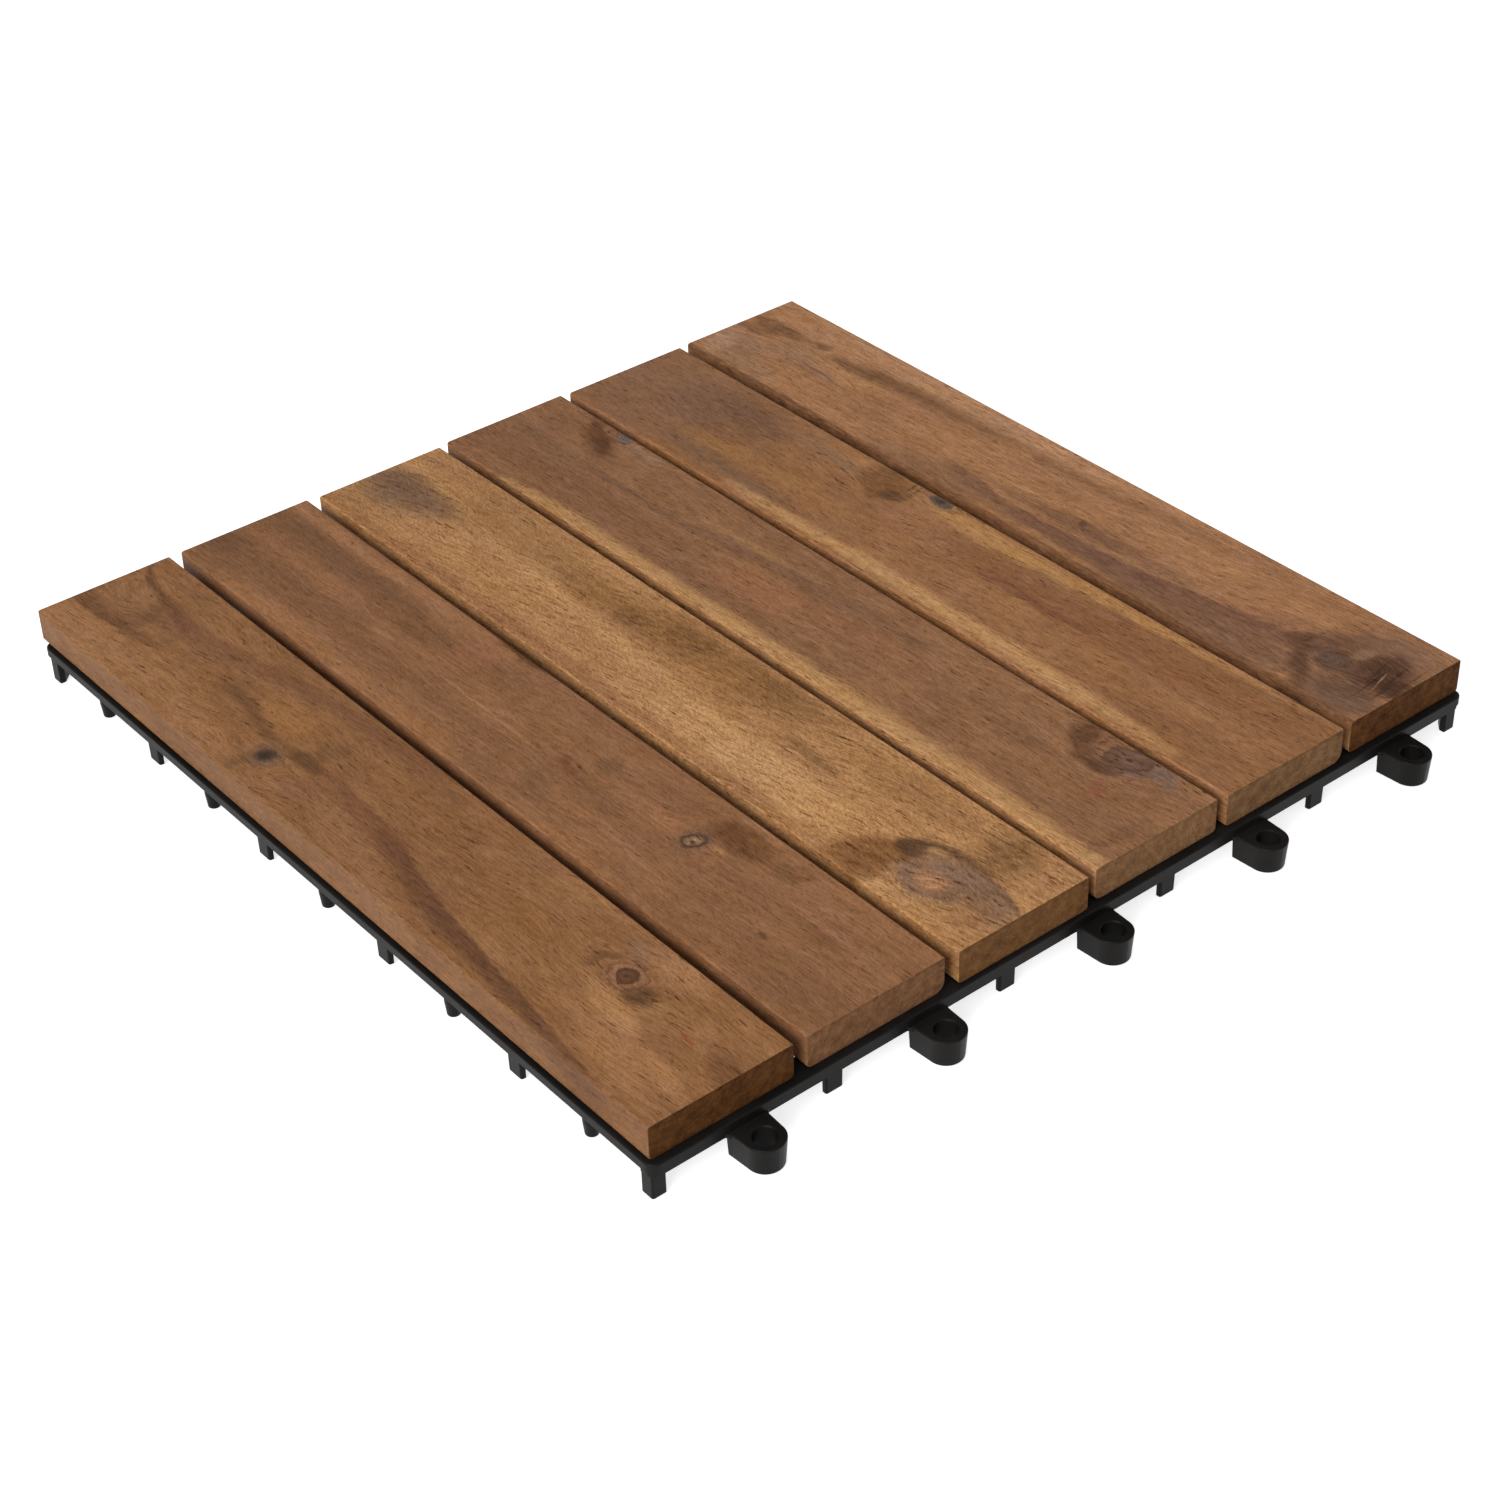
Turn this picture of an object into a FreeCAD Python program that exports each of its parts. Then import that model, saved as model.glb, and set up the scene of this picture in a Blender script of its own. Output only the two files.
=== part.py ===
import FreeCAD, Part
import math
import os

V = FreeCAD.Vector

# Driving dimensions in millimetres: X runs along the slats, Z is up, the floor is z = 0.
base_side = 300.0
base_height = 12.0
rim_band_height = 2.9
rim_band_width = 8.0
rim_edge_round = 0.5
rim_corner_r = 3.0
lower_band_height = 1.5
lower_band_inset = 0.4
lower_band_width = 4.6

# The lattice under the slats: deep main ribs, and thinner ribs halfway between them.
rib_cells = 10
rib_pitch = base_side / rib_cells
rib_lines = rib_cells // 2 - 1
main_rib_w = 2.4
side_rib_w = 1.6
side_rib_drop = 0.5
foot_tip_r = 2.1
foot_root_r = 2.7

# Feet under the rim: a thin tab each, and a square with its inner corner cut off at each corner of the tile.
rim_foot_lines = [i * rib_pitch for i in (-3, -1, 1, 3)]
rim_foot_inset = 2.1
rim_foot_width = 5.7
rim_foot_depth = 1.5
rim_foot_side_r = 0.7
rim_foot_round = 0.3
rim_foot_draft = 0.12
corner_foot_inset_x = 1.3
corner_foot_inset_y = 0.9
corner_foot_size = 4.5
corner_foot_end = 1.8
corner_foot_outer_r = 0.7
corner_foot_end_r = 0.5

# Loops on two sides, and the pegs on the other two that drop into a neighbour's loops.
link_lines = [i * rib_pitch for i in (-4, -2, 0, 2, 4)]
loop_reach = 6.5
loop_r = 5.7
loop_draft = 3.9
loop_arm_flare = 0.45
loop_floor_gap = 0.7
loop_root_depth = 0.6
loop_top_round = 0.35
loop_foot_round = 0.3
loop_web_r = 1.2
hole_r = 3.35
hole_rim_w = 0.3
hole_rim_depth = 0.3
peg_inset = 4.1
peg_r = 2.3
peg_shaft_length = 4.5
peg_tip_r = 1.9
peg_tip_round = 0.4
link_pocket = 10.5

# Slats.
slat_count = 6
slat_gap = 3.7
slat_end_setback = 0.15
slat_side_setback = 0.6
slat_length = base_side - 2 * slat_end_setback
slat_row_width = base_side - 2 * slat_side_setback
slat_width = (slat_row_width - (slat_count - 1) * slat_gap) / slat_count
slat_thickness = 11.0
slat_row_shift = -1.95
slat_end_round = 0.4
# How far each slat lies along X and Y from its even place, and how much wider it is than the rest.
slat_shifts = (-0.2, -0.2, 0.7, -0.4, 0.2, -0.3)
slat_offsets = (0.2, 0.0, 0.1, -0.15, -0.45, 0.1)
slat_extras = (-0.9, -0.2, 0.0, -0.1, 0.7, 0.6)
# Corner radii of each slat's section: top left, top right, bottom right, bottom left, seen from +X.
slat_rounds = (
    (0.6, 0.6, 1.4, 1.3),
    (0.7, 0.7, 3.2, 1.9),
    (0.6, 0.7, 0.9, 1.4),
    (0.8, 0.6, 1.2, 2.6),
    (0.8, 0.6, 3.3, 1.5),
    (0.9, 0.6, 1.2, 1.8),
)

# Screws from below, four to a slat.
screw_x = [i * rib_pitch for i in (-4.5, -1.5, 1.5, 4.5)]
screw_y = [i * rib_pitch for i in (-4, -2.5, -1, 1, 2.5, 4)]
screw_r = 1.75
screw_in_wood = 8.0
screw_tip_length = 1.6
screw_tip_r = 0.25
head_r = 3.25
head_rim_height = 1.1
head_crown = 1.0
cross_length = 3.6
cross_width = 0.75
cross_depth = 1.2
boss_r = 4.0
boss_clearance = 0.2
pilot_clearance = 0.04
pilot_spare = 0.6

# How far tools and roots reach past a face, and how near counts as the same place.
embed = 0.5
near = 0.01
same = 1e-6

half = base_side / 2
band_z = base_height - rim_band_height
rib_z = band_z - lower_band_height
lower_half = half - lower_band_inset
rim_inner = half - rim_band_width
seat_z = rib_z
boss_height = base_height - seat_z


def moved(shape, x, y, z=0.0, turn=0.0):
    out = shape.copy()
    out.rotate(V(0, 0, 0), V(0, 0, 1), turn)
    out.translate(V(x, y, z))
    return out


def block(x0, x1, y0, y1, z0, z1):
    return Part.makeBox(x1 - x0, y1 - y0, z1 - z0, V(x0, y0, z0))


def rounded_square(side_half, radius, z, height):
    s = side_half
    solid = block(-s, s, -s, s, z, z + height)
    upright = [e for e in solid.Edges if e.BoundBox.ZLength > height - near]
    return solid.makeFillet(radius, upright)


def rectangle(x0, x1, y0, y1, z):
    points = [V(x0, y0, z), V(x1, y0, z), V(x1, y1, z), V(x0, y1, z), V(x0, y0, z)]
    return Part.makePolygon(points)


def edges_at_z(solid, z):
    found = []
    for e in solid.Edges:
        box = e.BoundBox
        if abs(box.ZMin - z) < same and abs(box.ZMax - z) < same:
            found.append(e)
    return found


def main_lines():
    return [i * rib_pitch for i in range(-rib_lines, rib_lines + 1)]


# The rim's upper band with the main cells cut through it.
def top_layer():
    slab = rounded_square(half, rim_corner_r, band_z, rim_band_height)
    slab = slab.makeFillet(rim_edge_round, edges_at_z(slab, base_height))
    w = main_rib_w / 2
    starts = [-rim_inner] + [p + w for p in main_lines()]
    ends = [p - w for p in main_lines()] + [rim_inner]
    spans = list(zip(starts, ends))
    cells = [
        block(x0, x1, y0, y1, band_z - embed, base_height + embed)
        for x0, x1 in spans
        for y0, y1 in spans
    ]
    return slab.cut(Part.makeCompound(cells))


def side_ribs():
    low = -rim_inner - embed
    top = base_height - side_rib_drop
    w = side_rib_w / 2
    parts = []
    for i in range(-rib_lines - 1, rib_lines + 1):
        p = (i + 0.5) * rib_pitch
        parts.append(block(low, -low, p - w, p + w, band_z, top))
        parts.append(block(p - w, p + w, low, -low, band_z, top))
    return parts


# Deeper main ribs, kept back from the pegs so a neighbour's loop fits, and the deep bands behind the loops.
def lower_layer():
    low = -half + link_pocket
    parts = []
    w = main_rib_w / 2
    inner = lower_half - lower_band_width
    for p in main_lines():
        parts.append(block(low, inner, p - w, p + w, rib_z, band_z))
        parts.append(block(p - w, p + w, low, inner, rib_z, band_z))
    frame = rounded_square(lower_half, rim_corner_r - lower_band_inset, rib_z, lower_band_height)
    open_part = block(-half - embed, inner, -half - embed, inner, rib_z - embed, band_z + embed)
    parts.append(frame.cut(open_part))
    return parts


def inner_feet():
    foot = Part.makeCone(foot_tip_r, foot_root_r, band_z)
    return [moved(foot, x, y) for x in main_lines() for y in main_lines()]


# A rim foot: a drafted tab with rounded outer sides, its face at x = 0.
def rim_foot():
    d = rim_foot_draft
    w = rim_foot_width / 2
    low = rectangle(-rim_foot_depth, 0, -w, w, 0)
    high = rectangle(-rim_foot_depth, d, -w - d, w + d, band_z + embed)
    tab = Part.makeLoft([low, high], True, True)
    outer = [e for e in tab.Edges if e.BoundBox.ZLength > band_z and e.CenterOfMass.x > -rim_foot_depth / 2]
    tab = tab.makeFillet(rim_foot_side_r, outer)
    return tab.makeFillet(rim_foot_round, edges_at_z(tab, 0))


def rim_feet():
    foot = rim_foot()
    at = half - rim_foot_inset
    parts = []
    for p in rim_foot_lines:
        parts.append(moved(foot, at, p))
        parts.append(moved(foot, -at, p, 0, 180))
        parts.append(moved(foot, p, at, 0, 90))
        parts.append(moved(foot, p, -at, 0, -90))
    return parts


def corner_feet():
    a = corner_foot_size
    b = corner_foot_end
    points = [V(0, 0, 0), V(-a, 0, 0), V(-a, -b, 0), V(-b, -a, 0), V(0, -a, 0), V(0, 0, 0)]
    foot = Part.Face(Part.makePolygon(points)).extrude(V(0, 0, band_z + embed))
    upright = [e for e in foot.Edges if e.BoundBox.ZLength > band_z]
    ends = [e for e in upright if min(e.CenterOfMass.x, e.CenterOfMass.y) < -near]
    foot = foot.makeFillet(corner_foot_end_r, ends)
    outer = [e for e in foot.Edges if e.BoundBox.ZLength > band_z and min(e.CenterOfMass.x, e.CenterOfMass.y) > -near]
    foot = foot.makeFillet(corner_foot_outer_r, outer)
    foot = foot.makeFillet(rim_foot_round, edges_at_z(foot, 0))
    at_x = half - corner_foot_inset_x
    at_y = half - corner_foot_inset_y
    return [
        moved(foot, at_x, at_y),
        moved(foot, -at_x, at_y, 0, 90),
        moved(foot, -at_x, -at_y, 0, 180),
        moved(foot, at_x, -at_y, 0, -90),
    ]


# The outline of a loop's arm, which is wider at its root.
def arm(root, r, z):
    w = r + loop_arm_flare
    points = [V(root, -w, z), V(loop_reach, -r, z), V(loop_reach, r, z), V(root, w, z), V(root, -w, z)]
    return Part.makePolygon(points)


# A loop that reaches out along +X from the rim's face at x = 0.
def loop_block():
    height = band_z - loop_floor_gap
    low_r = loop_r - height * math.tan(math.radians(loop_draft))
    drum = Part.makeCone(low_r, loop_r, height, V(loop_reach, 0, loop_floor_gap))
    root = -loop_root_depth - lower_band_inset
    bar = Part.makeLoft([arm(root, low_r, loop_floor_gap), arm(root, loop_r, band_z)], True, True)
    body = drum.fuse(bar).removeSplitter()
    end_x = root + near
    foot = [e for e in edges_at_z(body, loop_floor_gap) if e.CenterOfMass.x > end_x]
    body = body.makeFillet(loop_foot_round, foot)
    brow = [e for e in edges_at_z(body, band_z) if e.CenterOfMass.x > end_x]
    body = body.makeFillet(loop_top_round, brow)
    body = body.cut(Part.makeCylinder(hole_r, height + 2 * embed, V(loop_reach, 0, loop_floor_gap - embed)))
    rim = Part.makeCone(hole_r, hole_r + hole_rim_w, hole_rim_depth, V(loop_reach, 0, band_z - hole_rim_depth))
    return body.cut(rim)


def web(side):
    r = loop_web_r
    w = loop_r + loop_arm_flare
    face_x = -lower_band_inset
    y0 = side * (w - r)
    y1 = side * (w + r)
    piece = block(face_x - embed, face_x + r, min(y0, y1), max(y0, y1), rib_z, band_z - loop_top_round)
    curve = Part.makeCylinder(r, base_height, V(face_x + r, y1, 0))
    return piece.cut(curve)


def loops():
    parts = []
    for p in link_lines:
        for shape in (loop_block(), web(-1), web(1)):
            parts.append(moved(shape, half, p))
            parts.append(moved(shape, p, half, 0, 90))
    return parts


def pegs():
    shaft_z = band_z - peg_shaft_length
    r = peg_tip_round
    slant = r * math.sqrt(0.5)
    corner = V(peg_tip_r - r + slant, 0, r - slant)
    tip = Part.Arc(V(peg_tip_r - r, 0, 0), corner, V(peg_tip_r, 0, r)).toShape()
    top = band_z + embed
    line = [V(peg_tip_r, 0, r), V(peg_r, 0, shaft_z), V(peg_r, 0, top), V(0, 0, top), V(0, 0, 0), V(peg_tip_r - r, 0, 0)]
    outline = Part.Wire([tip] + Part.makePolygon(line).Edges)
    peg = Part.Face(outline).revolve(V(0, 0, 0), V(0, 0, 1), 360)
    at = -half + peg_inset
    parts = []
    for p in link_lines:
        parts.append(moved(peg, at, p))
        parts.append(moved(peg, p, at))
    return parts


def bosses():
    return [
        Part.makeCylinder(boss_r, boss_height, V(x, y, seat_z))
        for x in screw_x
        for y in screw_y
    ]


def base_grid():
    body = top_layer()
    extras = side_ribs() + lower_layer() + inner_feet() + rim_feet() + corner_feet() + loops() + pegs() + bosses()
    body = body.multiFuse(extras)
    hole = screw_r + boss_clearance
    drills = [
        Part.makeCylinder(hole, boss_height + 2 * embed, V(x, y, seat_z - embed))
        for x in screw_x
        for y in screw_y
    ]
    body = body.cut(Part.makeCompound(drills)).removeSplitter()
    return body.Solids[0]


# A slat's section has a radius of its own at each corner.
def slat_section(rounds, width, x):
    w = width / 2
    z0 = base_height
    z1 = base_height + slat_thickness
    corners = [(-w, z1), (w, z1), (w, z0), (-w, z0)]
    ways = [(1, 0), (0, -1), (-1, 0), (0, 1)]
    edges = []
    k = 1 - math.sqrt(0.5)
    for i, (y, z) in enumerate(corners):
        r = rounds[i]
        into = ways[i - 1]
        out = ways[i]
        start = V(x, y - into[0] * r, z - into[1] * r)
        end = V(x, y + out[0] * r, z + out[1] * r)
        mid = V(x, y + (out[0] - into[0]) * r * k, z + (out[1] - into[1]) * r * k)
        edges.append((start, Part.Arc(start, mid, end).toShape(), end))
    wire = []
    for i, (start, arc, end) in enumerate(edges):
        wire.append(arc)
        wire.append(Part.makeLine(end, edges[(i + 1) % len(edges)][0]))
    return Part.Face(Part.Wire(wire))


def slat(index):
    x0 = slat_row_shift + slat_shifts[index] - slat_length / 2
    width = slat_width + slat_extras[index]
    solid = slat_section(slat_rounds[index], width, x0).extrude(V(slat_length, 0, 0))
    ends = []
    for e in solid.Edges:
        box = e.BoundBox
        if box.XLength < same:
            ends.append(e)
    solid = solid.makeFillet(slat_end_round, ends)
    pitch = slat_width + slat_gap
    y = (index - (slat_count - 1) / 2) * pitch + slat_offsets[index]
    solid.translate(V(0, y, 0))
    depth = screw_in_wood + pilot_spare
    pilots = [
        Part.makeCylinder(screw_r + pilot_clearance, depth + embed, V(x, screw_y[index], base_height - embed))
        for x in screw_x
    ]
    return solid.cut(Part.makeCompound(pilots))


# A pan head screw standing on its head's seat, with a cross recess underneath.
def screw():
    length = boss_height + screw_in_wood
    straight = length - screw_tip_length
    crown_r = (head_r ** 2 + head_crown ** 2) / (2 * head_crown)
    rim_z = -head_rim_height
    low = rim_z - head_crown
    angle = math.asin(head_r / crown_r) / 2
    centre = low + crown_r
    mid = V(crown_r * math.sin(angle), 0, centre - crown_r * math.cos(angle))
    crown = Part.Arc(V(0, 0, low), mid, V(head_r, 0, rim_z)).toShape()
    points = [V(head_r, 0, rim_z), V(head_r, 0, 0), V(screw_r, 0, 0), V(screw_r, 0, straight)]
    points += [V(screw_tip_r, 0, length), V(0, 0, length), V(0, 0, low)]
    outline = Part.Wire([crown] + Part.makePolygon(points).Edges)
    body = Part.Face(outline).revolve(V(0, 0, 0), V(0, 0, 1), 360)
    w = cross_width / 2
    s = cross_length / 2
    cross = block(-s, s, -w, w, low - embed, low + cross_depth)
    cross = cross.fuse(block(-w, w, -s, s, low - embed, low + cross_depth))
    return body.cut(cross)


def screw_row(index):
    one = screw()
    return Part.makeCompound([moved(one, x, screw_y[index], seat_z) for x in screw_x])


os.makedirs("parts", exist_ok=True)
base_grid().exportStep("parts/base_grid.step")
for number in range(slat_count):
    slat(number).exportStep("parts/slat_%d.step" % (number + 1))
    screw_row(number).exportStep("parts/slat_%d_screws.step" % (number + 1))
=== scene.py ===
import math

import bpy
from mathutils import Matrix, Vector


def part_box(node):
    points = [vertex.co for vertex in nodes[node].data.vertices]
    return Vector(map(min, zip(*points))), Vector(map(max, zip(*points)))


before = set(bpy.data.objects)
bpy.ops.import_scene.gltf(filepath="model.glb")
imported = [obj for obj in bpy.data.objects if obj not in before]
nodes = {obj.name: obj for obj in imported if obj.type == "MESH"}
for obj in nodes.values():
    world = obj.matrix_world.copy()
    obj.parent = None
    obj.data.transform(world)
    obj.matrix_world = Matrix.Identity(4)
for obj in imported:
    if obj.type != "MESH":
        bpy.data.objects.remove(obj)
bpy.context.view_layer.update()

# Textures and looks are laid out in millimetres, and the frame is in metres.
MM = 1000.0

# Noise textures: changes per millimetre, also along, across and down a slat, then detail and roughness.
TEXTURES = {
    "broad": ((0.012, 0.10, 0.10), 2.0, 0.5),
    "streak": ((0.05, 0.42, 0.42), 3.0, 0.6),
    "cloud": ((0.05, 0.10, 0.10), 3.0, 0.6),
    "mottle": ((0.26, 0.62, 0.62), 4.0, 0.68),
    "fibre": ((0.13, 2.4, 2.4), 3.0, 0.6),
    "dash": ((0.24, 2.5, 2.5), 2.0, 0.55),
    "grit": ((0.9, 1.8, 1.8), 3.0, 0.65),
    "mark": ((0.42, 1.5, 1.5), 3.0, 0.7),
    "shake": ((0.10, 0.22, 0.22), 3.0, 0.62),
    "wander": ((0.02, 0.06, 1.0), 2.0, 0.5),
    "end_ring": (0.75, 3.0, 0.7),
    "end_wobble": (0.16, 3.0, 0.6),
    "end_blotch": (0.26, 4.0, 0.75),
    "end_pore": ((0.4, 2.9, 2.9), 1.0, 0.5),
    "saw": ((0.5, 0.12, 2.2), 2.0, 0.5),
    "plastic_spark": (3.2, 2.0, 0.6),
    "plastic_flow": (0.045, 3.0, 0.6),
    "plastic_dust": (0.5, 3.0, 0.7),
    "steel_cloud": (0.7, 3.0, 0.6),
    "steel_plate": (5.0, 2.0, 0.6),
}


def linear(rgb):
    """An sRGB colour, 0 to 255, as the linear colour that a shader takes."""
    out = []
    for c in rgb:
        c = c / 255.0
        out.append(c / 12.92 if c <= 0.04045 else ((c + 0.055) / 1.055) ** 2.4)
    return tuple(out)


class Graph:
    """Builds the node tree of a material or world. Calls that work out a value return its socket."""

    def __init__(self, owner):
        self.owner = owner
        owner.use_nodes = True
        self.tree = owner.node_tree
        self.tree.nodes.clear()

    def node(self, kind, **settings):
        n = self.tree.nodes.new(kind)
        for key, value in settings.items():
            setattr(n, key, value)
        return n

    def put(self, socket, value):
        if isinstance(value, bpy.types.NodeSocket):
            self.tree.links.new(value, socket)
        else:
            socket.default_value = value

    def math(self, operation, a, b=0.0, clamp=False):
        n = self.node("ShaderNodeMath", operation=operation, use_clamp=clamp)
        for socket, value in zip(n.inputs, (a, b)):
            self.put(socket, value)
        return n.outputs[0]

    def add(self, a, b):
        return self.math("ADD", a, b)

    def less(self, a, b):
        return self.math("SUBTRACT", a, b)

    def times(self, a, b, clamp=False):
        return self.math("MULTIPLY", a, b, clamp)

    def swing(self, value, reach):
        """A noise value as a swing about zero."""
        return self.times(self.less(value, 0.5), reach)

    def vector(self, operation, a, b=(0.0, 0.0, 0.0)):
        n = self.node("ShaderNodeVectorMath", operation=operation)
        self.put(n.inputs[0], a)
        if operation == "SCALE":
            self.put(n.inputs["Scale"], b)
        elif operation != "LENGTH":
            self.put(n.inputs[1], b)
        return n.outputs["Value"] if operation == "LENGTH" else n.outputs["Vector"]

    def turned(self, vector, degrees):
        """A place turned about the vertical."""
        n = self.node("ShaderNodeVectorRotate", rotation_type="Z_AXIS")
        self.put(n.inputs["Vector"], vector)
        n.inputs["Angle"].default_value = math.radians(degrees)
        return n.outputs[0]

    def split(self, vector):
        n = self.node("ShaderNodeSeparateXYZ")
        self.put(n.inputs[0], vector)
        return n.outputs[0], n.outputs[1], n.outputs[2]

    def join(self, x, y, z):
        n = self.node("ShaderNodeCombineXYZ")
        for socket, value in zip(n.inputs, (x, y, z)):
            self.put(socket, value)
        return n.outputs[0]

    def texture(self, name, place, color=False):
        """Noise whose scale is one number, or three that stretch it along the axes."""
        scale, detail, rough = TEXTURES[name]
        if isinstance(scale, tuple):
            place = self.vector("MULTIPLY", place, scale)
            scale = 1.0
        n = self.node("ShaderNodeTexNoise")
        self.put(n.inputs["Vector"], place)
        n.inputs["Scale"].default_value = scale
        n.inputs["Detail"].default_value = detail
        n.inputs["Roughness"].default_value = rough
        return n.outputs["Color"] if color else n.outputs["Fac"]

    def ease(self, value, low, high, out_low=0.0, out_high=1.0, smooth=True):
        """Passes from out_low to out_high as the value goes from low to high."""
        n = self.node("ShaderNodeMapRange", interpolation_type="SMOOTHSTEP" if smooth else "LINEAR")
        for socket, v in zip(n.inputs, (value, low, high, out_low, out_high)):
            self.put(socket, v)
        return n.outputs[0]

    def mix(self, factor, a, b, blend="MIX"):
        n = self.node("ShaderNodeMix", data_type="RGBA", blend_type=blend)
        n.clamp_factor = True
        self.put(n.inputs[0], factor)
        for socket, value in ((n.inputs[6], a), (n.inputs[7], b)):
            if not isinstance(value, bpy.types.NodeSocket):
                value = (*value, 1.0)
            self.put(socket, value)
        return n.outputs[2]

    def between(self, factor, a, b):
        """A number that passes from a to b."""
        n = self.node("ShaderNodeMix", data_type="FLOAT")
        self.put(n.inputs[0], factor)
        self.put(n.inputs[2], a)
        self.put(n.inputs[3], b)
        return n.outputs[0]

    def shaded(self, color, red, green, blue):
        """A colour with each of its channels multiplied."""
        return self.mix(1.0, color, self.join(red, green, blue), "MULTIPLY")

    def curve(self, value, points, margin=1.0):
        """A smooth curve through (x, y) points; margin is the room above and below them."""
        xs = [p[0] for p in points]
        ys = [p[1] for p in points]
        x0, x1 = min(xs), max(xs)
        y0, y1 = min(ys) - margin, max(ys) + margin
        n = self.node("ShaderNodeFloatCurve")
        line = n.mapping.curves[0]
        spots = [((x - x0) / (x1 - x0), (y - y0) / (y1 - y0)) for x, y in points]
        line.points[0].location = spots[0]
        line.points[1].location = spots[-1]
        for spot in spots[1:-1]:
            line.points.new(*spot)
        n.mapping.update()
        self.put(n.inputs["Value"], self.ease(value, x0, x1, smooth=False))
        return self.ease(n.outputs[0], 0.0, 1.0, y0, y1, smooth=False)

    def ramp(self, value, stops):
        """A colour ramp through (position, sRGB colour) stops."""
        n = self.node("ShaderNodeValToRGB")
        self.put(n.inputs[0], value)
        elements = n.color_ramp.elements
        elements[0].position, elements[1].position = stops[0][0], stops[-1][0]
        for position, _ in stops[1:-1]:
            elements.new(position)
        for element, (_, rgb) in zip(elements, stops):
            element.color = (*linear(rgb), 1.0)
        return n.outputs[0]

    def surface(self, color, rough, bump, bump_distance, bump_strength, **sockets):
        shader = self.node("ShaderNodeBsdfPrincipled")
        self.put(shader.inputs["Base Color"], color)
        self.put(shader.inputs["Roughness"], rough)
        for name, value in sockets.items():
            self.put(shader.inputs[name.replace("_", " ")], value)
        relief = self.node("ShaderNodeBump")
        relief.inputs["Strength"].default_value = bump_strength
        relief.inputs["Distance"].default_value = bump_distance
        self.put(relief.inputs["Height"], bump)
        self.tree.links.new(relief.outputs[0], shader.inputs["Normal"])
        out = self.node("ShaderNodeOutputMaterial")
        self.tree.links.new(shader.outputs[0], out.inputs[0])
        return self.owner


# What a slat's look may change: its grain's slope, painted light and shade on its -Y side (a factor that
# makes that side lighter or darker), and each texture's weight.
PLAIN_LOOK = {
    "slope": -0.05,
    # side: painted light and shade, a factor that makes the -Y side lighter or darker
    "side": 1.0,
    "broad": 0.5,
    "streak": 0.35,
    "cloud": 0.6,
    "mottle": 0.60,
    "fibre": 1.05,
    "grit": 0.62,
    "marks": 0.60,
    "pores": 0.52,
}

GRAIN_LEAN = 0.3  # sideways on the way down, so the top's figure runs on over the long sides
WANDER = 9.0  # millimetres
SEED_STEP = 37.0
END_SEED_STEP = 4.0
SWIRL_STRETCH = 0.5
MARKS_TURN = 24.0  # degrees between the sanding marks and the grain
TONE_STOPS = (0.2, 0.5, 0.8)
PORE_EDGE = (0.58, 0.72)
END_PORE_EDGE = (0.60, 0.68)

# The edges of bands, stains and knots waver by these millimetres, and the wood's texture breaks them up.
SHAKE_REACH = (8.0, 3.0, 0.0)
KNOT_SHAKE = 0.45
KNOT_RAGGED = (0.35, 0.65)
EDGE_MOTTLE = 0.6
EDGE_GRIT = 0.4
PATCHY = (0.34, 0.60, 0.66, 1.0)
SPECKLE = (0.36, 0.64, 0.42, 1.15)
BAND_SOFT = 0.75
BAND_MIN_WIDTH = 0.05
BAND_END = 0.1

# How far from a knot's middle, in its own radii, its parts begin and are full.
HALO_FULL = 0.9
RINGS_FULL = 0.6
EDGE_REACH = (1.35, 0.75)
HEART_REACH = (0.92, 0.36)
PITH_REACH = (0.32, 0.12)
PITH_TINT = (38, 26, 22)
RING_WAVE = (-0.2, 1.0)
RINGS_STRENGTH = 0.9

# Mottling runs from mauve to ochre, and dark fibres are redder: green and blue fall faster than red.
WARM_MOTTLE = 0.25
WARM_CLOUD = 0.75
WARM_EDGE = (0.36, 0.64)
RED_SHIFT = (0.99, 1.015)
BLUE_SHIFT = (1.05, 0.94)
GREEN_FALL = 1.22
BLUE_FALL = 1.6

# A face whose normal passes these values turns from the top into a sawn end or a long side.
FACING = (0.55, 0.85)
# The sawn ends are a little darker along their upper edge: from, to, how dark.
END_TOP = (-1.3, -0.5, 0.86)
END_TONE_EDGE = (0.36, 0.74)
END_WOBBLE = 5.0
END_SHADE = 0.82
END_WEIGHTS = {"ring": 0.40, "blotch": 0.70, "saw": 0.30, "pore": 0.34, "grit": 0.8}

RELIEF = {"fibre": 0.5, "pore": 0.55, "end_grit": 1.4, "end_pore": 0.9}
FIBRE_RANGE = (0.3, 0.7)
WOOD_ROUGH = (0.52, 0.62)
END_ROUGH = 0.22
WOOD_SPECULAR = 0.12
WOOD_BUMP = 0.00022
WOOD_BUMP_STRENGTH = 0.55


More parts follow.
